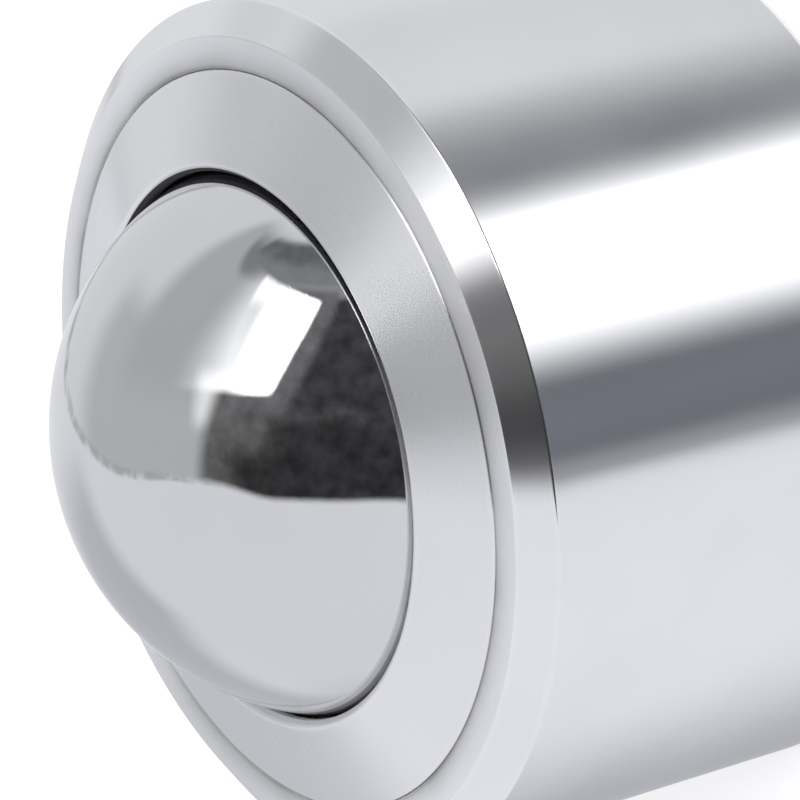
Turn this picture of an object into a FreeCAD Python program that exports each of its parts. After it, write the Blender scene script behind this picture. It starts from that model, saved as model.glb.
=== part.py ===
import FreeCAD, Part
import math
import os

# Ball castor with a turned steel housing.
# It stands on its flat rear face, with the origin at that face's centre and
# the load ball pointing up, along +Z. All sizes are in millimetres.

# Sizes of the balls
load_ball_diameter = 15.875
support_ball_diameter = 1.5875

# Race cup: a turned and hardened insert with a hemispherical race
race_clearance = 0.03
cup_wall = 0.60
cup_floor = 0.60
cup_seat_gap = 0.015
seat_cone_height = 5.20
half_seat_cone_deg = 22.5

# Housing: one turned piece, worked out from the cup outwards
housing_wall = 1.80
floor_thickness = 1.14
ball_centre_depth = 2.16
front_chamfer_width = 0.90
front_chamfer_height = 0.70
rear_chamfer = 0.50

# Retaining ring: a turned ring with a coned face that rises to the ball
ring_rise = 0.84
ring_depth = 1.05
ring_fit_gap = 0.01
lip_gap = 0.22
lip_land = 0.35
lip_break = 0.18
joint_break = 0.04

# Felt wiper and the washer that holds it up in the retaining ring
felt_thickness = 0.95
felt_width = 1.25
felt_gap = 0.06
felt_fit_gap = 0.02
washer_thickness = 0.30
washer_clearance = 0.30
washer_fit_gap = 0.05

# Support balls: the share of their pitch left free between rows and within a
# row, and how far round the load ball the rows reach, counted from the bottom
slack_between_rows = 0.020
slack_in_row = 0.004
row_reach_deg = 76.0
facets_around = 6
facet_bands = 4

# Sizes that follow from those above
load_ball_radius = load_ball_diameter / 2
support_ball_radius = support_ball_diameter / 2
race_radius = load_ball_radius + support_ball_diameter + 2 * race_clearance
track_radius = load_ball_radius + race_clearance + support_ball_radius
cup_radius = race_radius + cup_wall
bore_radius = cup_radius + cup_seat_gap
housing_radius = bore_radius + housing_wall
ball_centre_z = floor_thickness + cup_seat_gap + cup_floor + race_radius
front_z = ball_centre_z + ball_centre_depth
ring_foot_z = front_z - ring_depth
cup_rim_z = ring_foot_z - washer_thickness
felt_top_z = ring_foot_z + felt_thickness


def ball_section_radius(height):
    """Radius of the load ball's round section at a height of the part."""
    rise = height - ball_centre_z
    return math.sqrt(load_ball_radius ** 2 - rise ** 2)


def at(radius, height):
    """A point of a turned piece's outline."""
    return FreeCAD.Vector(radius, 0, height)


def lines(points):
    """Straight edges through the points of an outline, in order."""
    return [Part.makeLine(a, b) for a, b in zip(points[:-1], points[1:])]


def quarter_arc(radius):
    """Arc about the load ball's centre, from the level of that centre down to the axis."""
    diagonal = radius * math.sqrt(0.5)
    start = at(radius, ball_centre_z)
    middle = at(diagonal, ball_centre_z - diagonal)
    end = at(0, ball_centre_z - radius)
    return Part.Arc(start, middle, end).toShape()


def turned(edges):
    """Solid of revolution about Z from a closed outline beside that axis."""
    face = Part.Face(Part.Wire(edges))
    return face.revolve(FreeCAD.Vector(0, 0, 0), FreeCAD.Vector(0, 0, 1), 360)


def housing():
    """Turned cylinder with chamfered ends and a bore with a coned bottom."""
    outline = [
        at(0, floor_thickness),
        at(0, 0),
        at(housing_radius - rear_chamfer, 0),
        at(housing_radius, rear_chamfer),
        at(housing_radius, front_z - front_chamfer_height),
        at(housing_radius - front_chamfer_width, front_z),
        at(bore_radius + joint_break, front_z),
        at(bore_radius, front_z - joint_break),
        at(bore_radius, floor_thickness + seat_cone_height),
        at(bore_radius - seat_cone_height, floor_thickness),
        at(0, floor_thickness),
    ]
    return turned(lines(outline))


def race_cup():
    """Insert that fills the bore's coned bottom and holds the hemispherical race.

    Its short straight rim above the race carries the washer. The cone stands
    off the housing's by the same gap, measured square to both.
    """
    foot_z = floor_thickness + cup_seat_gap
    cone_gap = cup_seat_gap * math.tan(math.radians(half_seat_cone_deg))
    cone_top_z = foot_z + seat_cone_height - cone_gap
    cone_foot_radius = cup_radius - seat_cone_height + cone_gap
    outside = [
        at(race_radius, ball_centre_z),
        at(race_radius, cup_rim_z),
        at(cup_radius, cup_rim_z),
        at(cup_radius, cone_top_z),
        at(cone_foot_radius, foot_z),
        at(0, foot_z),
        at(0, ball_centre_z - race_radius),
    ]
    return turned(lines(outside) + [quarter_arc(race_radius)])


def retaining_ring():
    """Ring with a coned face, a land at the ball and a pocket for the felt."""
    lip_z = front_z + ring_rise
    roof_z = felt_top_z + felt_fit_gap
    outer_radius = bore_radius - ring_fit_gap
    opening_radius = ball_section_radius(lip_z) + lip_gap
    relief_radius = ball_section_radius(roof_z) + lip_gap
    pocket_radius = felt_outer_radius() + felt_fit_gap
    outline = [
        at(outer_radius, ring_foot_z),
        at(outer_radius, front_z - joint_break),
        at(outer_radius - joint_break, front_z),
        at(opening_radius + lip_break, lip_z),
        at(opening_radius, lip_z - lip_break),
        at(opening_radius, lip_z - lip_land),
        at(relief_radius, roof_z),
        at(pocket_radius, roof_z),
        at(pocket_radius, ring_foot_z),
        at(outer_radius, ring_foot_z),
    ]
    return turned(lines(outline))


def felt_outer_radius():
    """Outer radius of the felt wiper, counted from its foot beside the ball."""
    return ball_section_radius(ring_foot_z) + felt_gap + felt_width


def felt_wiper():
    """Felt ring whose inner wall leans in along the ball."""
    outer_radius = felt_outer_radius()
    foot_radius = ball_section_radius(ring_foot_z) + felt_gap
    top_radius = ball_section_radius(felt_top_z) + felt_gap
    outline = [
        at(outer_radius, ring_foot_z),
        at(outer_radius, felt_top_z),
        at(top_radius, felt_top_z),
        at(foot_radius, ring_foot_z),
        at(outer_radius, ring_foot_z),
    ]
    return turned(lines(outline))


def seal_washer():
    """Flat washer between the cup's rim and the retaining ring."""
    inner_radius = load_ball_radius + washer_clearance
    outer_radius = bore_radius - washer_fit_gap
    outline = [
        at(inner_radius, cup_rim_z),
        at(outer_radius, cup_rim_z),
        at(outer_radius, ring_foot_z),
        at(inner_radius, ring_foot_z),
        at(inner_radius, cup_rim_z),
    ]
    return turned(lines(outline))


def load_ball():
    """The large ball that rolls on the floor or under the load."""
    ball = Part.makeSphere(load_ball_radius)
    ball.translate(FreeCAD.Vector(0, 0, ball_centre_z))
    return ball


def faceted_ball(radius):
    """Ball of flat facets about the origin, with every corner on the true ball.

    Well over a hundred support balls lie out of sight, so each has few faces.
    """
    corners = []
    for band in range(1, facet_bands):
        polar = math.pi * band / facet_bands
        ring = []
        for step in range(facets_around):
            turn = 2 * math.pi * step / facets_around
            x = radius * math.sin(polar) * math.cos(turn)
            y = radius * math.sin(polar) * math.sin(turn)
            ring.append(FreeCAD.Vector(x, y, radius * math.cos(polar)))
        corners.append(ring)
    top = FreeCAD.Vector(0, 0, radius)
    bottom = FreeCAD.Vector(0, 0, -radius)
    outlines = []
    for step in range(facets_around):
        after = (step + 1) % facets_around
        outlines.append([top, corners[0][step], corners[0][after]])
        outlines.append([bottom, corners[-1][after], corners[-1][step]])
        for upper, lower in zip(corners[:-1], corners[1:]):
            outlines.append([upper[step], lower[step], lower[after], upper[after]])
    faces = [Part.Face(Part.makePolygon(outline + outline[:1])) for outline in outlines]
    return Part.makeSolid(Part.makeShell(faces))


def row_pitch():
    """Angle between rows of support balls, seen from the load ball's centre."""
    touching = 2 * math.asin(support_ball_radius / track_radius)
    return touching * (1 + slack_between_rows)


def support_ball_row(row):
    """One row of support balls in the race: row 0 is the ball at the bottom."""
    polar = row * row_pitch()
    row_radius = track_radius * math.sin(polar)
    height = ball_centre_z - track_radius * math.cos(polar)
    spacing = support_ball_diameter * (1 + slack_in_row)
    if row == 0:
        count = 1
    else:
        count = int(math.pi / math.asin(spacing / 2 / row_radius))
    model = faceted_ball(support_ball_radius)
    balls = []
    for place in range(count):
        turn = 2 * math.pi * (place + 0.5 * (row % 2)) / count
        ball = model.copy()
        ball.rotate(FreeCAD.Vector(0, 0, 0), FreeCAD.Vector(0, 0, 1), math.degrees(turn))
        centre = FreeCAD.Vector(row_radius * math.cos(turn), row_radius * math.sin(turn), height)
        ball.translate(centre)
        balls.append(ball)
    return Part.makeCompound(balls)


def support_ball_rows():
    """Every row of support balls by its node's name, from the bottom outwards."""
    last_row = int(math.radians(row_reach_deg) / row_pitch())
    rows = {"support_ball_bottom": support_ball_row(0)}
    for row in range(1, last_row + 1):
        rows[f"support_ball_row_{row}"] = support_ball_row(row)
    return rows


pieces = {
    "housing": housing(),
    "race_cup": race_cup(),
    "retaining_ring": retaining_ring(),
    "felt_wiper": felt_wiper(),
    "seal_washer": seal_washer(),
    "load_ball": load_ball(),
}
pieces.update(support_ball_rows())

os.makedirs("parts", exist_ok=True)
for name, shape in pieces.items():
    shape.exportStep(f"parts/{name}.step")
    print(name, len(shape.Solids), "solid(s),", round(shape.Volume, 2), "cubic mm")
print("housing", round(2 * housing_radius, 3), "across,", round(front_z, 3), "long")
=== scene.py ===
import logging
import math
from dataclasses import dataclass
from enum import Enum

import bpy
import numpy as np
from mathutils import Matrix, Vector


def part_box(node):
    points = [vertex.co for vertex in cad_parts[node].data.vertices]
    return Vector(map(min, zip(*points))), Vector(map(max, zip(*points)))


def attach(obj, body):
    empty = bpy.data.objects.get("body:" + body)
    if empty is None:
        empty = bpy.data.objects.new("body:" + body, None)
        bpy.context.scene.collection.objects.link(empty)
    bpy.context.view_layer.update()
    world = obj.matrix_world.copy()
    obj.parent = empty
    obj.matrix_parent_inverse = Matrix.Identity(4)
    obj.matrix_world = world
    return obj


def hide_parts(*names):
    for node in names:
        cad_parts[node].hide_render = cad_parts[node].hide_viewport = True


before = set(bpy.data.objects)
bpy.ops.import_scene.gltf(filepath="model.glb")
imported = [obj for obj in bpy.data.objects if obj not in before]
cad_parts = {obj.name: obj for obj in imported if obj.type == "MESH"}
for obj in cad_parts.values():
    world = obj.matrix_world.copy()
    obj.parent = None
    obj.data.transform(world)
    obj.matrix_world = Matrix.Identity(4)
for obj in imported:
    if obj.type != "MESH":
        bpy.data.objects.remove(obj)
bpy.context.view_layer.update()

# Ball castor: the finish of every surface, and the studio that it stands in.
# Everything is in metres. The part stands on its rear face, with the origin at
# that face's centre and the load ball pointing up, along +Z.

MM = 0.001
TINY = 1e-12
MAP_NAME = "turn_and_distance"
log = logging.getLogger("ball_castor")

Colour = tuple[float, float, float]
NumberLike = "Number | float"
Material = bpy.types.Material
Node = bpy.types.Node
Piece = bpy.types.Object
Socket = bpy.types.NodeSocket


class Body(Enum):
    """Bodies of the part that a piece can ride on."""

    HOUSING = "housing"
    LOAD_BALL = "load_ball"


class Slot(Enum):
    """Material slots that the record names."""

    HOUSING = "housing_steel"
    RING = "ring_steel"
    BALL = "polished_ball"
    RACE = "hardened_steel"
    SUPPORT_BALLS = "support_ball"
    FELT = "felt"


class Mark(Enum):
    """Values that a turned mesh carries at each of its points."""

    EDGE = "edge"
    SEAM = "seam"
    FACED = "faced"


# Sections of turned pieces


@dataclass(frozen=True)
class Corner:
    """A corner of a turned piece's section.

    Args:
        radius: distance from the axis.
        height: height above the floor.
        rounding: radius of the arc that takes its place.
        seam: how deep in a joint it lies, from 0 to 1, which sets its dirt and painted shade.
    """

    radius: float
    height: float
    rounding: float = 0.0
    seam: float = 0.0

    @property
    def point(self) -> np.ndarray:
        """Radius and height as one array."""
        return np.array([self.radius, self.height])


@dataclass(frozen=True)
class Section:
    """Rounded section of a turned piece, counter-clockwise beside its axis.

    Args:
        points: radius and height of each point, one row each.
        marks: a value for each point under each mark.
        capped: whether both ends lie on the axis.
    """

    points: np.ndarray
    marks: dict[Mark, np.ndarray]
    capped: bool

    def along(self) -> np.ndarray:
        """Distance of each point along the section, and at last of its closing point.

        Formula: running sum of the lengths of the straight steps between points.

        Returns:
            One value more than there are points.
        """
        following = np.roll(self.points, -1, axis=0)
        steps = np.linalg.norm(following - self.points, axis=1)
        return np.concatenate([[0.0], np.cumsum(steps)])


@dataclass(frozen=True)
class Rounder:
    """Rounds a section's corners and adds points beside them, so that flats shade flat.

    Args:
        arc_steps: straight steps in each rounded corner.
        edge_distances: distances from a corner at which a flat gets a point.
        farthest: share of a flat's length within which such a point must lie.
    """

    arc_steps: int = 6
    edge_distances: tuple[float, ...] = (0.03 * MM, 0.12 * MM, 0.30 * MM)
    farthest: float = 0.45

    def arc(self, before: np.ndarray, corner: Corner, after: np.ndarray) -> np.ndarray:
        """Points of the arc that takes a corner's place.

        Formula: the arc's ends lie rounding * tan(turn / 2) from the corner on
        its two sides, and each point is the arc's centre plus the first spoke
        turned by an even share of the turn.

        Args:
            before: the point before the corner.
            corner: the corner.
            after: the point after the corner.

        Returns:
            The arc's points, or the bare corner where it isn't rounded.
        """
        if corner.rounding == 0.0:
            return corner.point[None, :]
        along_in = (corner.point - before) / np.linalg.norm(corner.point - before)
        along_out = (after - corner.point) / np.linalg.norm(after - corner.point)
        turn = math.atan2(
            along_in[0] * along_out[1] - along_in[1] * along_out[0], along_in @ along_out
        )
        start = corner.point - along_in * corner.rounding * math.tan(abs(turn) / 2)
        inward = np.array([-along_in[1], along_in[0]]) * math.copysign(1.0, turn)
        centre = start + inward * corner.rounding
        angles = np.linspace(0.0, turn, self.arc_steps + 1)
        spoke = start - centre
        turned = np.stack([
            spoke[0] * np.cos(angles) - spoke[1] * np.sin(angles),
            spoke[0] * np.sin(angles) + spoke[1] * np.cos(angles),
        ], axis=1)
        return centre + turned

    def flat(self, start: np.ndarray, end: np.ndarray) -> tuple[np.ndarray, np.ndarray]:
        """Points on the flat between two arcs, close to its ends.

        Formula: start + share * (end - start), with the shares at the edge
        distances from either end, and an edge value that falls evenly to 0 at
        the last distance.

        Args:
            start: last point of the arc before.
            end: first point of the arc after.

        Returns:
            The points and their edge values.
        """
        length = float(np.linalg.norm(end - start))
        distances = np.array(self.edge_distances)
        near = distances[distances < self.farthest * length]
        shares = np.concatenate([near, length - near[::-1]]) / max(length, TINY)
        fall = 1 - near / distances[-1]
        return start + shares[:, None] * (end - start), np.concatenate([fall, fall[::-1]])

    def section(self, corners: list[Corner], capped: bool) -> Section:
        """The rounded section through some corners.

        Args:
            corners: the corners in order, counter-clockwise.
            capped: whether the first and last lie on the axis.

        Returns:
            The section.
        """
        count = len(corners)
        arcs = [
            self.arc(corners[k - 1].point, corners[k], corners[(k + 1) % count].point)
            for k in range(count)
        ]
        points, edges, seams = [], [], []
        for k, arc in enumerate(arcs):
            points.append(arc)
            edges.append(np.full(len(arc), 1.0 if len(arc) > 1 else 0.0))
            seams.append(np.full(len(arc), corners[k].seam))
            if capped and k == count - 1:
                break
            after = (k + 1) % count
            flat, fall = self.flat(arc[-1], arcs[after][0])
            points.append(flat)
            edges.append(fall)
            seams.append(np.linspace(corners[k].seam, corners[after].seam, len(flat) + 2)[1:-1])
        marks = {Mark.EDGE: np.concatenate(edges), Mark.SEAM: np.concatenate(seams)}
        return Section(np.concatenate(points), marks, capped)


# Meshes


@dataclass(frozen=True)
class Lathe:
    """Turns a section about the Z axis into a mesh.

    Args:
        sectors: flat steps in one turn.
    """

    sectors: int = 640

    def quads(self, rows: int, closed: bool) -> tuple[np.ndarray, np.ndarray, np.ndarray]:
        """Four-sided faces between neighbouring rows and columns.

        Formula: face (i, j) joins (i, j), (i, j+1), (i+1, j+1) and (i+1, j),
        where the columns, and in a closed section the rows, run round.

        Args:
            rows: number of rows of points.
            closed: whether the last row joins the first.

        Returns:
            Point numbers, rows and columns of each face's four corners.
        """
        low, left = np.meshgrid(
            np.arange(rows if closed else rows - 1), np.arange(self.sectors), indexing="ij"
        )
        row = np.stack([low, low, low + 1, low + 1], -1).reshape(-1, 4)
        column = np.stack([left, left + 1, left + 1, left], -1).reshape(-1, 4)
        return (row % rows) * self.sectors + column % self.sectors, row, column

    def fan(self, pole: int, first: int, upward: bool) -> tuple[np.ndarray, np.ndarray]:
        """Three-sided faces between a pole and its nearest row.

        Args:
            pole: the pole's point number.
            first: number of that row's first point.
            upward: whether the pole comes after the row.

        Returns:
            Point numbers and columns of each face's three corners.
        """
        here = np.arange(self.sectors)
        after = here + 1
        near, far = (here, after) if upward else (after, here)
        centre = np.full(self.sectors, pole)
        corners = np.stack([centre, first + near % self.sectors, first + far % self.sectors], -1)
        return corners, np.stack([here + 0.5, near, far], -1)

    def grid(self, points: np.ndarray) -> np.ndarray:
        """Places of all points of the turned surface.

        Formula: point (i, j) is (r cos a, r sin a, z), with r and z from point
        i of the section and a equal to 2 pi j over the number of sectors.

        Args:
            points: radius and height of each row.

        Returns:
            One place a row, row by row.
        """
        turn = 2 * np.pi * np.arange(self.sectors) / self.sectors
        across = points[:, :1] * np.cos(turn)
        deep = points[:, :1] * np.sin(turn)
        high = np.broadcast_to(points[:, 1:], across.shape)
        return np.stack([across, deep, high], -1).reshape(-1, 3)

    def piece(self, name: str, section: Section) -> Piece:
        """The turned piece, with its marks and a map of turn and distance.

        The map's U is the share of a turn, and its V the distance along the
        section in metres.

        Args:
            name: the new object's name.
            section: the section to turn.

        Returns:
            The new object.
        """
        whole = section.along()
        between = slice(1, -1) if section.capped else slice(None)
        along = whole[1:] if section.capped else whole
        body = section.points[between]
        places = self.grid(body)
        quads, row, column = self.quads(len(body), not section.capped)
        faces = [quads]
        maps = [np.stack([column / self.sectors, along[row]], -1)]
        marks = {m: np.repeat(v[between], self.sectors) for m, v in section.marks.items()}
        if section.capped:
            for upward, end in ((False, 0), (True, -1)):
                pole = section.points[end]
                first = (len(body) - 1) * self.sectors if upward else 0
                fan, turns = self.fan(len(places), first, upward)
                places = np.concatenate([places, [[0.0, 0.0, pole[1]]]])
                marks = {m: np.append(v, section.marks[m][end]) for m, v in marks.items()}
                reach = whole[[-2, -3, -3]] if upward else whole[[0, 1, 1]]
                reaches = np.tile(reach, (self.sectors, 1))
                faces.append(fan)
                maps.append(np.stack([turns / self.sectors, reaches], -1))
        return put_mesh(name, places, faces, maps, marks)


def put_mesh(
    name: str,
    places: np.ndarray,
    faces: list[np.ndarray],
    maps: list[np.ndarray],
    marks: dict[Mark, np.ndarray],
) -> Piece:
    """Puts whole arrays into a new smooth mesh at the origin.

    Args:
        name: the object's name.
        places: one point a row.
        faces: point numbers of faces with equal counts of corners, one array each.
        maps: U and V of each corner of those faces.
        marks: a value for each point under each mark.

    Returns:
        The new object, in the scene.
    """
    mesh = bpy.data.meshes.new(name)
    corners = np.concatenate([f.ravel() for f in faces])
    sizes = np.concatenate([np.full(len(f), f.shape[1]) for f in faces])
    mesh.vertices.add(len(places))
    mesh.loops.add(len(corners))
    mesh.polygons.add(len(sizes))
    mesh.vertices.foreach_set("co", places.astype(np.float32).ravel())
    mesh.loops.foreach_set("vertex_index", corners.astype(np.int32))
    starts = np.concatenate([[0], np.cumsum(sizes)[:-1]])
    mesh.polygons.foreach_set("loop_start", starts.astype(np.int32))
    mesh.polygons.foreach_set("use_smooth", np.ones(len(sizes), bool))
    mesh.update(calc_edges=True)
    layer = mesh.uv_layers.new(name=MAP_NAME)
    flat_map = np.concatenate([m.reshape(-1, 2) for m in maps])
    layer.data.foreach_set("uv", flat_map.astype(np.float32).ravel())
    for mark, values in marks.items():
        attribute = mesh.attributes.new(mark.value, "FLOAT", "POINT")
        attribute.data.foreach_set("value", values.astype(np.float32))
    mesh.validate()
    return put_object(name, mesh)


def put_object(name: str, data: bpy.types.ID) -> Piece:
    """Puts a mesh, a lamp or a camera into the scene.

    Args:
        name: the new object's name.
        data: what it holds.

    Returns:
        The object.
    """
    made = bpy.data.objects.new(name, data)
    bpy.context.scene.collection.objects.link(made)
    return made


# Sums in node trees


class Number:
    """A number that a node tree works out, written as plain arithmetic."""

    def __init__(self, sheet: "Sheet", socket: Socket) -> None:
        """Holds the socket that gives the number, and the sheet it is on."""
        self.sheet = sheet
        self.socket = socket

    def __add__(self, other: NumberLike) -> "Number":
        """Sum of this and another number."""
        return self.sheet.sum("ADD", self, other)

    def __sub__(self, other: NumberLike) -> "Number":
        """This number less another."""
        return self.sheet.sum("SUBTRACT", self, other)

    def __rsub__(self, other: float) -> "Number":
        """A plain number less this one."""
        return self.sheet.sum("SUBTRACT", other, self)

    def __mul__(self, other: NumberLike) -> "Number":
        """This number times another."""
        return self.sheet.sum("MULTIPLY", self, other)


class Sheet:
    """A node tree that is filled in from code."""

    def __init__(self, tree: bpy.types.NodeTree) -> None:
        """Starts from an empty tree."""
        self.tree = tree
        tree.nodes.clear()

    def node(
        self, kind: str, inputs: dict[str | int, object] | None = None, **settings: object
    ) -> Node:
        """A new node.

        Args:
            kind: the node's type.
            inputs: what its inputs get, by name or number.
            settings: its properties by name.

        Returns:
            The node.
        """
        made = self.tree.nodes.new(kind)
        for name, value in settings.items():
            setattr(made, name, value)
        for name, value in (inputs or {}).items():
            self.feed(made.inputs[name], value)
        return made

    def feed(self, target: Socket, value: object) -> None:
        """Sets an input socket, or links it to what works out its value.

        Args:
            target: the input socket.
            value: a number, a colour, a socket or a Number.
        """
        source = value.socket if isinstance(value, Number) else value
        if isinstance(source, Socket):
            self.tree.links.new(source, target)
        else:
            target.default_value = source

    def sum(self, operation: str, *terms: NumberLike) -> Number:
        """One step of arithmetic, by the Math node's name for it."""
        made = self.node("ShaderNodeMath", dict(enumerate(terms)), operation=operation)
        return Number(self, made.outputs[0])

    def ramp(self, value: NumberLike, low: NumberLike, high: NumberLike) -> Number:
        """A smooth step: 0 below the low value, 1 above the high one.

        Args:
            value: the number that goes in.
            low: where the step starts.
            high: where it ends.

        Returns:
            The step.
        """
        made = self.node(
            "ShaderNodeMapRange", dict(enumerate((value, low, high, 0.0, 1.0))),
            interpolation_type="SMOOTHSTEP", clamp=True,
        )
        return Number(self, made.outputs[0])

    def blend(self, share: NumberLike, first: object, second: object) -> Socket:
        """A colour between two others.

        Args:
            share: how much of the second.
            first: the first colour, or the socket that gives it.
            second: the second one.

        Returns:
            The socket with the colour.
        """
        colours = {0: share, 6: solid(first), 7: solid(second)}
        return self.node("ShaderNodeMix", colours, data_type="RGBA").outputs[2]

    def noise(self, place: object, scale: NumberLike, detail: float) -> Number:
        """Smooth noise from 0 to 1 in space.

        Args:
            place: the place in space.
            scale: waves in one unit of that place.
            detail: how many finer layers are added.

        Returns:
            The noise.
        """
        made = self.node(
            "ShaderNodeTexNoise", {"Vector": place, "Scale": scale, "Detail": detail}
        )
        return Number(self, made.outputs["Fac"])

    def parts(self, vector: object) -> list[Number]:
        """X, Y and Z of a vector."""
        made = self.node("ShaderNodeSeparateXYZ", {0: vector})
        return [Number(self, part) for part in made.outputs]


def solid(colour: object) -> object:
    """A plain colour with full cover added, or the socket as it is."""
    return (*colour, 1.0) if isinstance(colour, tuple) else colour


def scaled(colour: Colour, share: float) -> Colour:
    """A plain colour made darker or brighter by a share."""
    return tuple(share * part for part in colour)


# Effects that more than one finish uses


class Effect(Enum):
    """Node groups by name."""

    TURNING = "turning_marks"
    MOTTLE = "surface_mottle"
    # Edges brightened by rubbing, and partly as a painted highlight.
    WEAR_AND_HIGHLIGHT = "edge_wear_and_highlight"
    SCUFFS = "hairline_scuffs"
    # Dirt in the joints, partly painted shade in their hollows.
    GRIME_AND_SHADE = "seam_grime_and_shade"


def new_effect(effect: Effect, **inputs: str) -> tuple[Sheet, dict[str, Number]]:
    """An empty node group with named inputs and one output, its Value.

    Args:
        effect: which effect it is.
        inputs: type of each input by name, Float or Vector.

    Returns:
        The sheet to fill in, and its inputs by name.
    """
    tree = bpy.data.node_groups.new(effect.value, "ShaderNodeTree")
    for name, kind in inputs.items():
        tree.interface.new_socket(name, in_out="INPUT", socket_type=f"NodeSocket{kind}")
    tree.interface.new_socket("Value", in_out="OUTPUT", socket_type="NodeSocketFloat")
    sheet = Sheet(tree)
    given = sheet.node("NodeGroupInput")
    return sheet, {name: Number(sheet, given.outputs[name]) for name in inputs}


def make_turning_marks() -> None:
    """Fine lines round the axis, left by a tool or a grinding wheel.

    Formula: noise along the section, at one wave a pitch, times slow noise in
    space, so that a line comes and goes on its way round.
    """
    sheet, given = new_effect(Effect.TURNING, Distance="Float", Pitch="Float", Place="Vector")
    fading_waves, least = 260.0, 0.3
    pitches = sheet.sum("DIVIDE", given["Distance"], given["Pitch"])
    lines = sheet.node(
        "ShaderNodeTexNoise", {"W": pitches, "Scale": 1.0, "Detail": 3.0}, noise_dimensions="1D"
    )
    fading = sheet.noise(given["Place"], fading_waves, 1.0) * (1.0 - least) + least
    sheet.node("NodeGroupOutput", {"Value": Number(sheet, lines.outputs["Fac"]) * fading})


def make_mottle() -> None:
    """Slow cloudy change over a surface, from 0 to 1.

    Formula: noise at the given size, with a smooth step about its middle.
    """
    sheet, given = new_effect(Effect.MOTTLE, Place="Vector", Scale="Float")
    clear, full = 0.3, 0.7
    cloud = sheet.noise(given["Place"], given["Scale"], 5.0)
    sheet.node("NodeGroupOutput", {"Value": sheet.ramp(cloud, clear, full)})


def make_edge_wear_and_highlight() -> None:
    """Where an edge has been brightened by rubbing, which also paints a highlight along it: close
    to it, in patches.

    Formula: a smooth step of the edge value plus noise, less the reserve that
    keeps the flats whole.
    """
    sheet, given = new_effect(Effect.WEAR_AND_HIGHLIGHT, Edge="Float", Place="Vector", Amount="Float")
    patch_waves, whole, bare = 900.0, 1.05, 1.55
    patches = sheet.noise(given["Place"], patch_waves, 4.0)
    worn_and_lit = sheet.ramp(given["Edge"] + patches, whole, bare)
    sheet.node("NodeGroupOutput", {"Value": worn_and_lit * given["Amount"]})


def make_scuffs() -> None:
    """Hairlines in three directions, a few of them visible at a time.

    Formula: for each direction, noise stretched a hundredfold along it, kept
    where it is near its highest, and the greatest of the three.
    """
    sheet, given = new_effect(Effect.SCUFFS, Place="Vector")
    turns = ((0.3, 0.2, 0.5), (1.1, -0.6, 1.9), (-0.8, 1.3, 2.8))
    waves_along, waves_across = 60.0, 5200.0
    faint, sharp = 0.68, 0.80
    stretch = (waves_along, waves_across, waves_across)
    most = None
    for turn in turns:
        thin = sheet.node(
            "ShaderNodeMapping", {"Vector": given["Place"], "Rotation": turn, "Scale": stretch}
        )
        line = sheet.ramp(sheet.noise(thin.outputs["Vector"], 1.0, 1.0), faint, sharp)
        most = line if most is None else sheet.sum("MAXIMUM", most, line)
    sheet.node("NodeGroupOutput", {"Value": most})


def make_seam_grime_and_shade() -> None:
    """Oil and dirt that settle in a joint, together with painted shade for its dark hollow.

    Formula: a smooth step of the seam value times patchy noise that never
    reaches 0.
    """
    sheet, given = new_effect(Effect.GRIME_AND_SHADE, Seam="Float", Place="Vector")
    patch_waves, spread, least = 420.0, 0.5, 0.55
    undarkened, full = 0.1, 0.6
    patches = sheet.noise(given["Place"], patch_waves, 3.0) * spread + least
    sheet.node("NodeGroupOutput", {"Value": sheet.ramp(given["Seam"] * patches, undarkened, full)})


def make_effects() -> None:
    """Builds every shared effect once."""
    for make in (make_turning_marks, make_mottle, make_edge_wear_and_highlight, make_scuffs, make_seam_grime_and_shade):
        make()


# Finishes


class Surface:
    """A material under way: its sheet, its shader and what patterns read."""

    def __init__(self, name: str) -> None:
        """Starts a material with one plain shader, under a name."""
        self.material = bpy.data.materials.new(name)
        self.material.use_nodes = True
        self.sheet = Sheet(self.material.node_tree)
        self.shader = self.sheet.node("ShaderNodeBsdfPrincipled")
        self.sheet.node("ShaderNodeOutputMaterial", {"Surface": self.shader.outputs[0]})
        self.place = self.sheet.node("ShaderNodeTexCoord").outputs["Object"]

    def set(self, name: str, value: object) -> None:
        """Sets or links one of the shader's inputs."""
        self.sheet.feed(self.shader.inputs[name], value)

    def mark(self, mark: Mark) -> Number:
        """A value that the mesh carries."""
        made = self.sheet.node("ShaderNodeAttribute", attribute_name=mark.value)
        return Number(self.sheet, made.outputs["Fac"])

    def distance(self) -> Number:
        """Distance along a turned piece's section, in metres, from its map's V."""
        source = self.sheet.node("ShaderNodeUVMap", uv_map=MAP_NAME)
        return self.sheet.parts(source.outputs[0])[1]

    def reach(self) -> Number:
        """Radius plus height, which stands for the distance where there is no map."""
        x, y, z = self.sheet.parts(self.place)
        return self.sheet.sum("SQRT", x * x + y * y) + z

    def effect(self, effect: Effect, **inputs: object) -> Number:
        """Places a shared effect, at this surface's own place, with its own values.

        Args:
            effect: which effect.
            inputs: its other inputs by name.

        Returns:
            Its value.
        """
        group = bpy.data.node_groups[effect.value]
        made = self.sheet.node("ShaderNodeGroup", {"Place": self.place, **inputs}, node_tree=group)
        return Number(self.sheet, made.outputs[0])

    def relief(self, height: Number, depth: float) -> None:
        """Raises the surface by a height.

        Args:
            height: the height, from 0 to 1.
            depth: what a height of 1 stands for, in metres.
        """
        bump = self.sheet.node(
            "ShaderNodeBump", {"Strength": 1.0, "Distance": depth, "Height": height}
        )
        self.set("Normal", bump.outputs[0])


@dataclass(frozen=True)
class Steel:
    """What every steel finish has.

    Args:
        name: the material's name.
        colour: colour of the bare metal.
        gloss: roughness of the cleanest patches.
    """

    name: str
    colour: Colour
    gloss: float


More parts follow.
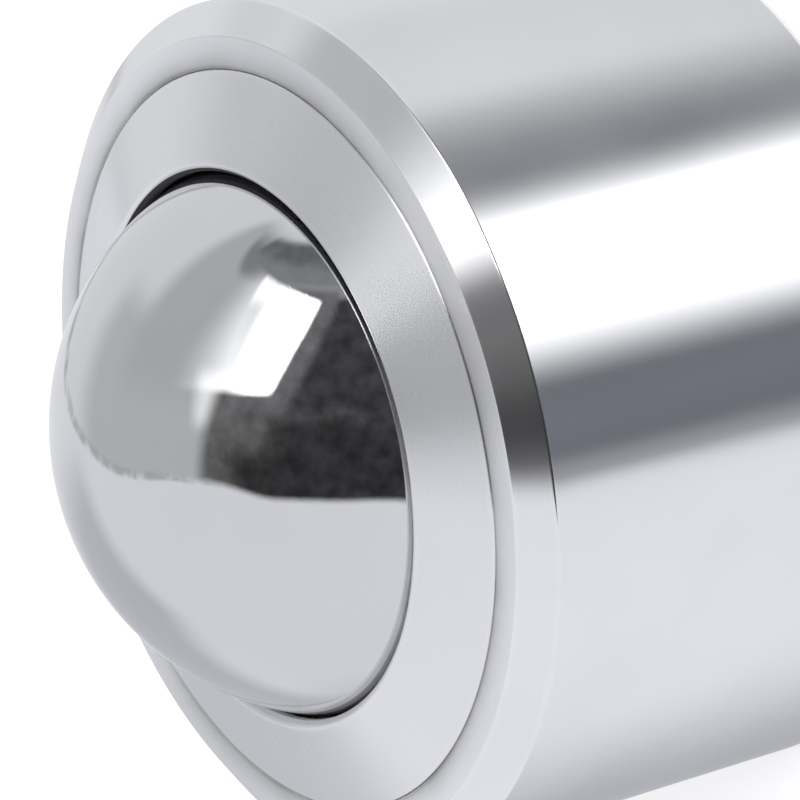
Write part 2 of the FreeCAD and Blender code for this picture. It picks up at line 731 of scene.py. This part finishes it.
@dataclass(frozen=True)
class TurnedSteel(Steel):
    """Bright plated steel as it left the lathe, for the housing and its ring.

    The tool's fine rings run round the axis, so reflections spread across
    them, along the section, and stay sharp along the rings.

    Args:
        faced: roughness that a coarsely faced end has in place of the gloss.
        pitch: distance between tool marks.
        depth: depth of the tool marks.
        wear_and_highlight: how far the edges are brightened by rubbing and as a painted highlight,
            from 0 to 1.
        lit_side_lift: how much of a joint's dirt and painted shade is taken off on the side
            towards -X, as painted light where the lamp falls into the joint.
        haze: roughness that the cloudy patches add.
        drawn: how much more reflections spread across the rings, from 0 to 1.
        grime_and_shade_colour: colour of a joint's dirt, which is also painted shade in its
            hollow.
        worn_and_highlight_colour: colour of those edges, brighter from rubbing and as a painted
            highlight.
    """

    faced: float
    pitch: float
    depth: float
    wear_and_highlight: float
    lit_side_lift: float = 0.0
    haze: float = 0.03
    drawn: float = 1.0
    grime_and_shade_colour: Colour = (0.03, 0.03, 0.034)
    worn_and_highlight_colour: Colour = (0.95, 0.95, 0.96)

    def material(self) -> Material:
        """Builds the material.

        Returns:
            The material.
        """
        s = Surface(self.name)
        sheet = s.sheet
        cloud_waves, cloud_shade = 210.0, 0.955
        lit_side_from, lit_side_to = -4.0 * MM, 5.0 * MM
        grime_and_shade_cover, grime_and_shade_haze = 0.9, 0.5
        quarter_turn = 0.25
        cloud = s.effect(Effect.MOTTLE, Scale=cloud_waves)
        marks = s.effect(Effect.TURNING, Distance=s.distance(), Pitch=self.pitch)
        # Edges brighter from rubbing, and partly as a painted highlight.
        worn_and_lit = s.effect(Effect.WEAR_AND_HIGHLIGHT, Edge=s.mark(Mark.EDGE), Amount=self.wear_and_highlight)
        # Painted light: the joint's darkening is lifted on the side towards -X, where the lamp
        # falls into the joint.
        bare = 1.0 - sheet.ramp(sheet.parts(s.place)[0], lit_side_from, lit_side_to)
        seam = s.mark(Mark.SEAM) * (1.0 - bare * self.lit_side_lift)
        # The joint's darkening: partly dirt, partly painted shade in its hollow.
        grime_and_shade = s.effect(Effect.GRIME_AND_SHADE, Seam=seam)
        undarkened = sheet.blend(cloud, scaled(self.colour, cloud_shade), self.colour)
        rubbed_and_highlit = sheet.blend(worn_and_lit, undarkened, self.worn_and_highlight_colour)
        s.set("Base Color", sheet.blend(grime_and_shade, rubbed_and_highlit, self.grime_and_shade_colour))
        s.set("Metallic", 1.0 - grime_and_shade * grime_and_shade_cover)
        ends = s.mark(Mark.FACED) * (self.faced - self.gloss)
        uneven = (cloud + marks) * self.haze
        s.set("Roughness", uneven + self.gloss + ends + grime_and_shade * grime_and_shade_haze)
        s.set("Anisotropic", self.drawn)
        s.set("Anisotropic Rotation", quarter_turn)
        rings = sheet.node("ShaderNodeTangent", direction_type="UV_MAP", uv_map=MAP_NAME)
        s.set("Tangent", rings.outputs[0])
        s.relief(marks, self.depth)
        return s.material


class MirrorSteel(Steel):
    """Hardened steel, lapped to a mirror, for the load ball."""

    def material(self) -> Material:
        """Builds the material.

        Returns:
            The material.
        """
        s = Surface(self.name)
        film_waves, grain_waves, film_shade = 150.0, 2600.0, 0.965
        film_haze, scuff_haze = 0.012, 0.05
        grain_share, scuff_share, depth = 0.6, 0.4, 0.0003 * MM
        film = s.effect(Effect.MOTTLE, Scale=film_waves)
        grain = s.effect(Effect.MOTTLE, Scale=grain_waves)
        scuffs = s.effect(Effect.SCUFFS)
        s.set("Base Color", s.sheet.blend(film, scaled(self.colour, film_shade), self.colour))
        s.set("Metallic", 1.0)
        s.set("Roughness", film * film_haze + scuffs * scuff_haze + self.gloss)
        s.relief(grain * grain_share - scuffs * scuff_share, depth)
        return s.material


@dataclass(frozen=True)
class GroundSteel(Steel):
    """Hardened steel, ground or tumbled, for the pieces inside.

    Args:
        pitch: distance between the grinding lines.
    """

    pitch: float

    def material(self) -> Material:
        """Builds the material.

        Returns:
            The material.
        """
        s = Surface(self.name)
        cloud_waves, oil_shade, depth = 320.0, 0.82, 0.0008 * MM
        cloud_haze, line_haze = 0.08, 0.10
        cloud = s.effect(Effect.MOTTLE, Scale=cloud_waves)
        lines = s.effect(Effect.TURNING, Distance=s.reach(), Pitch=self.pitch)
        s.set("Base Color", s.sheet.blend(cloud, scaled(self.colour, oil_shade), self.colour))
        s.set("Metallic", 1.0)
        s.set("Roughness", cloud * cloud_haze + lines * line_haze + self.gloss)
        s.relief(lines, depth)
        return s.material


@dataclass(frozen=True)
class OiledFeltWithPaintedShade:
    """Dense wool felt, dark with oil, and made nearly black as painted shade for the hollow behind
    the ring's lip.

    Args:
        name: the material's name.
        dark: colour of the soaked wool, nearly black, which is also painted shade.
        light: colour of the loose fibres.
    """

    name: str
    dark: Colour
    light: Colour

    def material(self) -> Material:
        """Builds the material.

        Returns:
            The material.
        """
        s = Surface(self.name)
        tuft_waves, depth = 3200.0, 0.03 * MM
        matt, oil_shine, sheen = 0.95, 0.08, 0.15
        tufts = s.effect(Effect.MOTTLE, Scale=tuft_waves)
        fibres = s.effect(Effect.SCUFFS)
        s.set("Base Color", s.sheet.blend((tufts + fibres) * 0.5, self.dark, self.light))
        s.set("Roughness", matt - tufts * oil_shine)
        s.set("Sheen Weight", sheen)
        s.relief(tufts + fibres, depth)
        return s.material


# Sub-assemblies


def ball_section_radius(height: float) -> float:
    """Radius of the load ball's round section at a height.

    Formula: by the circle's rule, the root of the ball's radius squared less
    the square of the height above its centre.

    Args:
        height: height above the floor.

    Returns:
        The radius.
    """
    low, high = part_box("load_ball")
    radius = (high.z - low.z) / 2
    return math.sqrt(radius ** 2 - (height - low.z - radius) ** 2)


@dataclass
class Housing:
    """The turned cylinder that holds everything, with sizes as in the part's source."""

    front_chamfer_width: float = 0.90 * MM
    front_chamfer_height: float = 0.70 * MM
    rear_chamfer: float = 0.50 * MM
    bore_radius: float = 10.20 * MM
    floor_thickness: float = 1.14 * MM
    seat_cone_height: float = 5.20 * MM
    edge_rounding: float = 0.07 * MM
    joint_rounding: float = 0.07 * MM
    joint_depth: float = 0.30 * MM
    # Darkness at the joint's mouth: partly dirt, partly painted shade.
    joint_dirt_and_shade: float = 0.45
    rim_tolerance: float = 0.002 * MM
    finish: TurnedSteel = TurnedSteel(
        "bright_turned_steel", (0.91, 0.915, 0.935), gloss=0.115, faced=0.245,
        pitch=0.045 * MM, depth=0.00035 * MM, wear_and_highlight=0.5,
    )

    def corners(self) -> list[Corner]:
        """Corners of the section, from the axis out along the rear face and back in.

        Returns:
            The corners, counter-clockwise.
        """
        low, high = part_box("housing")
        radius, front = high.x, high.z
        edge, joint = self.edge_rounding, self.joint_rounding
        return [
            Corner(0.0, low.z),
            Corner(radius - self.rear_chamfer, low.z, edge),
            Corner(radius, low.z + self.rear_chamfer, edge),
            Corner(radius, front - self.front_chamfer_height, edge),
            Corner(radius - self.front_chamfer_width, front, edge),
            Corner(self.bore_radius, front, joint, self.joint_dirt_and_shade),
            Corner(self.bore_radius, front - 2 * joint, 0.0, 1.0),
            Corner(self.bore_radius, front - self.joint_depth, 0.0, 1.0),
            Corner(self.bore_radius, self.floor_thickness + self.seat_cone_height, edge),
            Corner(self.bore_radius - self.seat_cone_height, self.floor_thickness, edge),
            Corner(0.0, self.floor_thickness),
        ]

    def build(self) -> list[Piece]:
        """Turns and dresses the housing.

        Returns:
            The one piece made.
        """
        section = Rounder().section(self.corners(), True)
        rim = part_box("housing")[1].z - self.rim_tolerance
        section.marks[Mark.FACED] = (section.points[:, 1] > rim).astype(float)
        shell = Lathe().piece("housing_turned", section)
        dress(shell, self.finish.material(), Body.HOUSING, "housing")
        return [shell]


@dataclass
class RetainingRing:
    """The coned ring in the housing's mouth, with the felt in its pocket."""

    front_height: float = 13.50 * MM
    lip_gap: float = 0.22 * MM
    lip_break: float = 0.18 * MM
    lip_land: float = 0.35 * MM
    undarkened_break: float = 0.09 * MM
    lip_rounding: float = 0.13 * MM
    pocket_roof: float = 13.42 * MM
    pocket_radius: float = 9.16 * MM
    edge_rounding: float = 0.05 * MM
    joint_rounding: float = 0.07 * MM
    # Darkness at the joint and on the land below the lip: partly dirt and oil, partly painted
    # shade.
    joint_dirt_and_shade: float = 0.15
    lip_dirt_and_shade: float = 0.8
    felt_gap: float = 0.06 * MM
    # The ring's joint darkening is lifted towards -X as painted light.
    finish: TurnedSteel = TurnedSteel(
        "bright_faced_steel", (0.915, 0.92, 0.94), gloss=0.255, faced=0.255,
        pitch=0.04 * MM, depth=0.0002 * MM, wear_and_highlight=0.45, lit_side_lift=0.65,
    )
    # The felt is dark with oil and also painted nearly black as shade in the hollow.
    felt: OiledFeltWithPaintedShade = OiledFeltWithPaintedShade("oiled_felt_and_painted_shade", (0.010, 0.010, 0.011), (0.035, 0.034, 0.033))

    def ring_corners(self) -> list[Corner]:
        """Corners of the ring's section, from its foot up the outside.

        Returns:
            The corners, counter-clockwise.
        """
        low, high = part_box("retaining_ring")
        outer, lip, joint = high.x, high.z, self.joint_rounding
        opening = ball_section_radius(lip) + self.lip_gap
        relief = ball_section_radius(self.pocket_roof) + self.lip_gap
        # The land below the lip is darkened, partly as oil and partly as painted shade, so that
        # the gap round the ball shows black.
        darkened_from = lip - self.lip_break + self.undarkened_break
        return [
            Corner(self.pocket_radius, low.z),
            Corner(outer, low.z, 0.0, 1.0),
            Corner(outer, self.front_height - 2 * joint, 0.0, 1.0),
            Corner(outer, self.front_height, joint, self.joint_dirt_and_shade),
            Corner(opening + self.lip_break, lip, self.lip_rounding),
            Corner(opening + self.undarkened_break, darkened_from, 0.0, self.lip_dirt_and_shade),
            Corner(opening, lip - self.lip_break, 0.0, self.lip_dirt_and_shade),
            Corner(opening, lip - self.lip_land, 0.0, 1.0),
            Corner(relief, self.pocket_roof, 0.0, 1.0),
            Corner(self.pocket_radius, self.pocket_roof, 0.0, 1.0),
        ]

    def felt_section(self) -> Section:
        """Section of the felt, with its wall along the ball.

        Returns:
            The section, counter-clockwise.
        """
        low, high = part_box("felt_wiper")
        rounding = self.edge_rounding
        corners = [
            Corner(ball_section_radius(low.z) + self.felt_gap, low.z, rounding),
            Corner(high.x, low.z, rounding),
            Corner(high.x, high.z, rounding),
            Corner(ball_section_radius(high.z) + self.felt_gap, high.z, rounding),
        ]
        return Rounder().section(corners, False)

    def build(self) -> list[Piece]:
        """Turns and dresses the ring and the felt.

        Returns:
            The two pieces made.
        """
        ring = Lathe().piece(
            "retaining_ring_turned", Rounder().section(self.ring_corners(), False)
        )
        dress(ring, self.finish.material(), Body.HOUSING, "retaining_ring")
        felt = Lathe(sectors=480).piece("felt_ring", self.felt_section())
        dress(felt, self.felt.material(), Body.HOUSING, "felt_wiper")
        return [ring, felt]


@dataclass
class LoadBall:
    """The large polished ball."""

    rows: int = 176
    sectors: int = 352
    finish: MirrorSteel = MirrorSteel("lapped_ball_steel", (0.745, 0.75, 0.765), 0.03)

    def section(self) -> Section:
        """Half circle from the ball's lowest point to its highest.

        Formula: radius times the sine, and centre less radius times the
        cosine, of evenly spaced angles from 0 to half a turn.

        Returns:
            The section.
        """
        low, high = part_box("load_ball")
        radius = (high.z - low.z) / 2
        angles = np.linspace(0.0, np.pi, self.rows + 1)
        points = np.stack([radius * np.sin(angles), low.z + radius - radius * np.cos(angles)], 1)
        points[[0, -1], 0] = 0.0
        none = np.zeros(len(points))
        return Section(points, {Mark.EDGE: none, Mark.SEAM: none}, True)

    def build(self) -> list[Piece]:
        """Turns and dresses the ball.

        Returns:
            The one piece made.
        """
        ball = Lathe(self.sectors).piece("load_ball_polished", self.section())
        dress(ball, self.finish.material(), Body.LOAD_BALL, "load_ball")
        return [ball]


@dataclass
class Race:
    """The pieces inside, which keep their own solids and get their finishes here."""

    race: GroundSteel = GroundSteel("ground_race_steel", (0.62, 0.62, 0.63), 0.16, 0.06 * MM)
    washer: GroundSteel = GroundSteel("blued_washer_steel", (0.30, 0.32, 0.36), 0.24, 0.09 * MM)
    balls: GroundSteel = GroundSteel("tumbled_ball_steel", (0.74, 0.745, 0.76), 0.10, 0.11 * MM)

    def build(self) -> list[Piece]:
        """Dresses the race, the washer and every row of support balls.

        Returns:
            The nodes dressed.
        """
        finishes = {"race_cup": self.race, "seal_washer": self.washer, "support_ball": self.balls}
        dressed = []
        for start, finish in finishes.items():
            material = finish.material()
            for name, node in sorted(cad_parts.items()):
                if name.startswith(start):
                    for slot in node.material_slots:
                        slot.material = material
                    dressed.append(node)
        return dressed


def dress(piece: Piece, material: Material, body: Body, node: str) -> None:
    """Gives a new piece its finish and its place among the bodies.

    Args:
        piece: the piece.
        material: its finish.
        body: the body that it rides on.
        node: the node of the frame that it stands for.
    """
    piece.data.materials.append(material)
    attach(piece, body.value)
    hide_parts(node)


# Studio


@dataclass(frozen=True)
class View:
    """The photograph's camera.

    Args:
        elevation: angle above the floor at which it looks down, in degrees.
        roll: its turn about its own line of sight, in degrees.
        distance: depth of the housing's front centre in front of it.
        front_centre: pixel at which that centre shows.
        frame_pixels: width of the photograph.
        lens: focal length, on the sensor's scale of millimetres.
        sensor: width of the sensor.
        clip: nearest and farthest depth that it draws.
    """

    elevation: float = 31.98
    roll: float = -104.24
    distance: float = 135.05 * MM
    front_centre: tuple[float, float] = (274.6, 441.9)
    frame_pixels: float = 800.0
    lens: float = 225.0
    sensor: float = 36.0
    clip: tuple[float, float] = (0.01, 20.0)

    def axes(self) -> tuple[Vector, Vector, Vector]:
        """The camera's right, up and backward directions.

        Formula: back is raised by the elevation from -Y; level right and up are
        square to it; right and up are those two turned by the roll.

        Returns:
            Three unit vectors.
        """
        rise, roll = math.radians(self.elevation), math.radians(self.roll)
        back = Vector((0.0, -math.cos(rise), math.sin(rise)))
        level_right = Vector((1.0, 0.0, 0.0))
        level_up = back.cross(level_right)
        right = level_right * math.cos(roll) + level_up * math.sin(roll)
        return right, back.cross(right), back

    def place(self) -> Vector:
        """Where the camera stands.

        Formula: from the front face's centre, back by the distance, and aside
        by the pixels between that centre and the middle of the frame.

        Returns:
            The point.
        """
        right, up, back = self.axes()
        pixels_per_depth = self.lens / self.sensor * self.frame_pixels
        middle = self.frame_pixels / 2
        aside = (self.front_centre[0] - middle) / pixels_per_depth * self.distance
        below = (self.front_centre[1] - middle) / pixels_per_depth * self.distance
        front = Vector((0.0, 0.0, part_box("housing")[1].z))
        return front + back * self.distance - right * aside + up * below

    def build(self) -> None:
        """Makes the camera and gives it to the scene."""
        lens = bpy.data.cameras.new("photograph_view")
        lens.lens = self.lens
        lens.sensor_width = self.sensor
        lens.clip_start, lens.clip_end = self.clip
        camera = put_object("photograph_view", lens)
        turn = Matrix([list(row) for row in zip(*self.axes())]).to_4x4()
        camera.matrix_world = Matrix.Translation(self.place()) @ turn
        bpy.context.scene.camera = camera


@dataclass(frozen=True)
class Card:
    """A card, wall or lamp face that the metal shows, by its edges in degrees.

    Args:
        tone: its colour.
        left: left edge, as an angle to the right of the photograph's viewer.
        right: right edge, counted the same way.
        low: lower edge, as an angle above the photograph's own level.
        high: upper edge.
        soft: width over which the edges fade.
        soft_left: the same for the left edge alone, where it differs.
        soft_low: the same for the lower edge.
        soft_high: the same for the upper edge.
        lean: how far the right edge moves right for each degree up.
        lean_left: how far the left edge does.
        droop: how far the upper edge falls for each degree right.
    """

    tone: Colour
    left: float
    right: float
    low: float
    high: float
    soft: float = 4.0
    soft_left: float = 0.0
    soft_low: float = 0.0
    soft_high: float = 0.0
    lean: float = 0.0
    lean_left: float = 0.0
    droop: float = 0.0

    def mask(self, sheet: Sheet, aside: Number, above: Number) -> Number:
        """How much of the card shows in a direction.

        Args:
            sheet: the sheet to work on.
            aside: angle to the right, in degrees.
            above: angle up, in degrees.

        Returns:
            A value from 0 to 1.
        """
        half = self.soft / 2
        half_left, half_low, half_high = (
            (own or self.soft) / 2 for own in (self.soft_left, self.soft_low, self.soft_high)
        )
        from_low = above - self.low
        from_left = aside - from_low * self.lean_left - self.left
        past_right = aside - from_low * self.lean - self.right
        past_high = above + (aside - self.left) * self.droop - self.high
        return (
            sheet.ramp(from_left, -half_left, half_left)
            * (1.0 - sheet.ramp(past_right, -half, half))
            * sheet.ramp(from_low, -half_low, half_low)
            * (1.0 - sheet.ramp(past_high, -half_high, half_high))
        )


@dataclass
class Studio:
    """The pale floor, the soft light and what the bright metal shows.

    The cards stand where the photograph's reflections show them, in the
    directions of its own right and up, all infinitely far off.

    Args:
        view: the photograph's camera.
        ceiling: what shows behind the cards.
        table: what shows below the horizon.
        table_far: the same beyond the part.
        brink: the patchy line along the table's edge on the left.
        soft_light: light for everything that isn't a reflection.
        cards: what hides the ceiling, each over those before it.
        shade: what hides the table behind the part on the left.
        lamp_power: power of the soft lamp, in watts.
        floor_side: side of the floor.
    """

    view: View
    ceiling: Colour = (0.75, 0.76, 0.775)
    table: Colour = (0.82, 0.825, 0.855)
    table_far: Colour = (0.45, 0.455, 0.48)
    brink: Colour = (0.43, 0.43, 0.44)
    soft_light: Colour = (0.62, 0.625, 0.635)
    cards: tuple[Card, ...] = (
        Card((0.68, 0.69, 0.70), 104.0, 178.0, 45.0, 68.0, 12.0),
        Card((0.54, 0.545, 0.56), -120.0, -30.0, -60.0, 31.0, 20.0, soft_high=12.0),
        Card((0.49, 0.495, 0.51), -98.0, -30.0, 10.0, 72.0, 16.0, soft_high=8.0),
        Card(
            (0.25, 0.255, 0.27), -66.0, 100.0, 53.8, 68.0, 40.0, 8.0, 6.0, 8.0,
            lean_left=-1.2, droop=-0.05,
        ),
        Card((0.205, 0.21, 0.225), 30.0, 100.0, 46.0, 60.0, 40.0, 8.0, 6.0, 8.0),
        Card((0.16, 0.165, 0.175), -68.0, 60.0, 63.0, 70.0, 5.0, droop=-0.1),
        Card((1.0, 1.0, 1.0), -58.0, -46.0, 0.0, 18.0, 8.0),
        Card((0.15, 0.15, 0.15), -71.0, 58.0, -60.0, 12.4, 3.0, 8.0, lean_left=0.3),
        Card((0.035, 0.035, 0.036), -46.0, 58.0, -60.0, -8.0, 8.0, soft_left=20.0, soft_high=16.0),
        Card((0.038, 0.038, 0.04), -26.0, 58.0, -60.0, 4.0, 12.0),
        Card((0.055, 0.055, 0.058), -36.0, 50.0, 4.0, 52.0, 8.0),
        Card((0.17, 0.17, 0.175), -44.0, -21.0, 4.0, 54.0, 6.0, lean=0.457),
        Card((0.178, 0.187, 0.212), 54.0, 112.0, -40.0, 14.0, 4.0, 8.0, soft_high=10.0),
        Card((0.33, 0.335, 0.35), 54.0, 112.0, -40.0, -5.8, 3.0, 8.0),
        Card((3.0, 3.0, 3.02), 50.0, 104.0, 24.0, 44.5, 4.0, 8.0, 20.0, 22.0),
        Card(
            (3.0, 3.0, 3.02), -40.0, -27.0, 12.2, 54.8, 4.0, soft_left=66.0,
            lean=0.457, lean_left=0.25, droop=0.225,
        ),
        Card(
            (4.5, 4.5, 4.52), -40.0, -27.0, 12.0, 54.8, 4.0, soft_left=14.0,
            lean=0.457, lean_left=0.2, droop=0.225,
        ),
        Card((1.5, 1.5, 1.51), -47.0, -30.0, 46.0, 56.2, 3.0, soft_low=8.0, droop=0.225),
    )
    shade: Card = Card((0.57, 0.575, 0.61), -190.0, -124.0, -44.0, -8.0, 16.0)
    lamp_power: float = 1.1
    floor_side: float = 6.0

    def direction(self, sheet: Sheet) -> tuple[Number, Number, Number]:
        """Angles of a direction as the photograph's viewer counts them.

        Formula: the parts of the direction along the view's right, up and back
        give the angle aside by their arc tangent and the angle up by the arc
        sine. How far off it points beyond the part is a smooth step of its
        part away from the viewer, for the right half only.

        Args:
            sheet: the world's sheet.

        Returns:
            Angles to the right and up, in degrees, and that share.
        """
        source = sheet.node("ShaderNodeTexCoord").outputs["Generated"]
        parts = []
        for axis in self.view.axes():
            along = sheet.node(
                "ShaderNodeVectorMath", {0: source, 1: tuple(axis)}, operation="DOT_PRODUCT"
            )
            parts.append(Number(sheet, along.outputs["Value"]))
        right, up, back = parts
        aside = sheet.sum("ARCTAN2", right, back) * math.degrees(1.0)
        above = sheet.sum("ARCSINE", up) * math.degrees(1.0)
        farthest, near, half = -0.95, -0.35, 0.2
        beyond = (1.0 - sheet.ramp(back, farthest, near)) * sheet.ramp(right, -half, half)
        return aside, above, beyond

    def horizon(self, sheet: Sheet, aside: Number) -> Number:
        """Height of the table's far edge in each direction, in degrees.

        Formula: the lowest height, plus 8 c + 3 c^3 towards the left, with c one
        less the cosine of the angle from the middle, plus smooth steps by angle:
        up and down again on the left, and three times up on the right.

        Args:
            sheet: the world's sheet.
            aside: angle to the right, in degrees.

        Returns:
            The height.
        """
        lowest, middle, swell = -29.3, 10.0, 4.9
        steps = (
            (-105.0, -65.0, swell), (-54.0, -26.0, -swell),
            (-5.0, 25.0, 1.0), (30.0, 66.0, 18.0), (110.0, 180.0, 21.0),
        )
        left = sheet.sum("MINIMUM", aside - middle, 0.0) * math.radians(1.0)
        c = 1.0 - sheet.sum("COSINE", left)
        height = c * 8.0 + c * c * c * 3.0 + lowest
        for start, end, rise in steps:
            height = height + sheet.ramp(aside, start, end) * rise
        return height

    def backdrop(self, sheet: Sheet) -> Socket:
        """Everything round the part: ceiling, cards, and the table below them.

        Formula: the cards hide the ceiling one over another, noise with a mean of
        1 multiplies what is dark there, and the table hides what lies below the
        horizon.

        Args:
            sheet: the world's sheet.

        Returns:
            The socket with its colour in each direction.
        """
        clutter_waves, even, dark, bright = 9.0, 2.0, 0.03, 0.35
        edge_half, brink_whole, brink_gone = 1.9, 0.5, 2.0
        brink_from, brink_to, brink_cover = -60.0, -45.0, 0.8
        patch_from, patch_whole = 0.35, 0.60
        aside, above, beyond = self.direction(sheet)
        space = sheet.node("ShaderNodeTexCoord").outputs["Generated"]
        clutter = sheet.noise(space, clutter_waves, 4.0)
        colour: object = self.ceiling
        for card in self.cards:
            colour = sheet.blend(card.mask(sheet, aside, above), colour, card.tone)
        uneven = sheet.node(
            "ShaderNodeVectorMath", {0: colour, "Scale": clutter * even}, operation="SCALE"
        )
        lightness = Number(sheet, sheet.node("ShaderNodeRGBToBW", {0: colour}).outputs[0])
        colour = sheet.blend(sheet.ramp(lightness, dark, bright), uneven.outputs[0], colour)
        edge = above - self.horizon(sheet, aside)
        ground = sheet.blend(beyond, self.table, self.table_far)
        ground = sheet.blend(self.shade.mask(sheet, aside, above), ground, self.shade.tone)
        brink = 1.0 - sheet.ramp(sheet.sum("ABSOLUTE", edge), brink_whole, brink_gone)
        left_only = 1.0 - sheet.ramp(aside, brink_from, brink_to)
        patchy = sheet.ramp(clutter, patch_from, patch_whole) * brink_cover
        colour = sheet.blend(sheet.ramp(edge, -edge_half, edge_half), ground, colour)
        return sheet.blend(brink * left_only * patchy, colour, self.brink)

    def build_world(self) -> None:
        """White for the camera, the backdrop for the metal, and plain soft light for the rest."""
        world = bpy.data.worlds.new("studio")
        world.use_nodes = True
        sheet = Sheet(world.node_tree)
        path = sheet.node("ShaderNodeLightPath")
        glossy, through = path.outputs["Is Glossy Ray"], path.outputs["Is Transmission Ray"]
        seen = sheet.sum("MAXIMUM", glossy, through)
        colour = sheet.blend(seen, self.soft_light, self.backdrop(sheet))
        white = sheet.blend(path.outputs["Is Camera Ray"], colour, (1.0, 1.0, 1.0))
        shown = sheet.node("ShaderNodeBackground", {"Color": white})
        sheet.node("ShaderNodeOutputWorld", {"Surface": shown.outputs[0]})
        bpy.context.scene.world = world

    def build_floor(self) -> None:
        """A wide pale floor that shows white and keeps the part's shadow."""
        half = self.floor_side / 2
        mesh = bpy.data.meshes.new("floor")
        mesh.from_pydata(
            [(-half, -half, 0.0), (half, -half, 0.0), (half, half, 0.0), (-half, half, 0.0)],
            [], [(0, 1, 2, 3)],
        )
        floor = put_object("floor", mesh)
        material = bpy.data.materials.new("pale_floor")
        material.use_nodes = True
        sheet = Sheet(material.node_tree)
        pale, glow_strength = (0.80, 0.80, 0.81), 0.42
        shader = sheet.node("ShaderNodeBsdfDiffuse", {"Color": solid(pale)})
        path = sheet.node("ShaderNodeLightPath")
        seen = Number(sheet, path.outputs["Is Camera Ray"])
        glow = sheet.node("ShaderNodeEmission", {"Strength": seen * glow_strength})
        both = sheet.node("ShaderNodeAddShader", {0: shader.outputs[0], 1: glow.outputs[0]})
        sheet.node("ShaderNodeOutputMaterial", {"Surface": both.outputs[0]})
        mesh.materials.append(material)
        floor.visible_glossy = False

    def build_light(self) -> None:
        """One large soft lamp over the viewer, which the metal doesn't show."""
        diameter, distance = 0.25, 0.45
        towards = Vector((0.30, -0.55, 0.78)).normalized()
        data = bpy.data.lights.new("soft_lamp", "AREA")
        data.shape = "DISK"
        data.size = diameter
        data.energy = self.lamp_power
        lamp = put_object("soft_lamp", data)
        turn = towards.to_track_quat("Z", "Y").to_matrix().to_4x4()
        lamp.matrix_world = Matrix.Translation(towards * distance) @ turn
        lamp.visible_glossy = False

    def build(self) -> None:
        """Makes the world, the floor and the lamp, and sets how colours show."""
        self.build_world()
        self.build_floor()
        self.build_light()
        bpy.context.scene.view_settings.view_transform = "Standard"


def main() -> None:
    """Builds every sub-assembly in order, then the studio, and notes the sizes."""
    logging.basicConfig(level=logging.INFO, format="%(name)s: %(message)s")
    make_effects()
    for assembly in (Housing(), RetainingRing(), LoadBall(), Race()):
        for piece in assembly.build():
            log.info(
                "%s: %s, %d faces", type(assembly).__name__, piece.name, len(piece.data.polygons)
            )
    view = View()
    view.build()
    Studio(view).build()


if __name__ == "__main__":
    main()
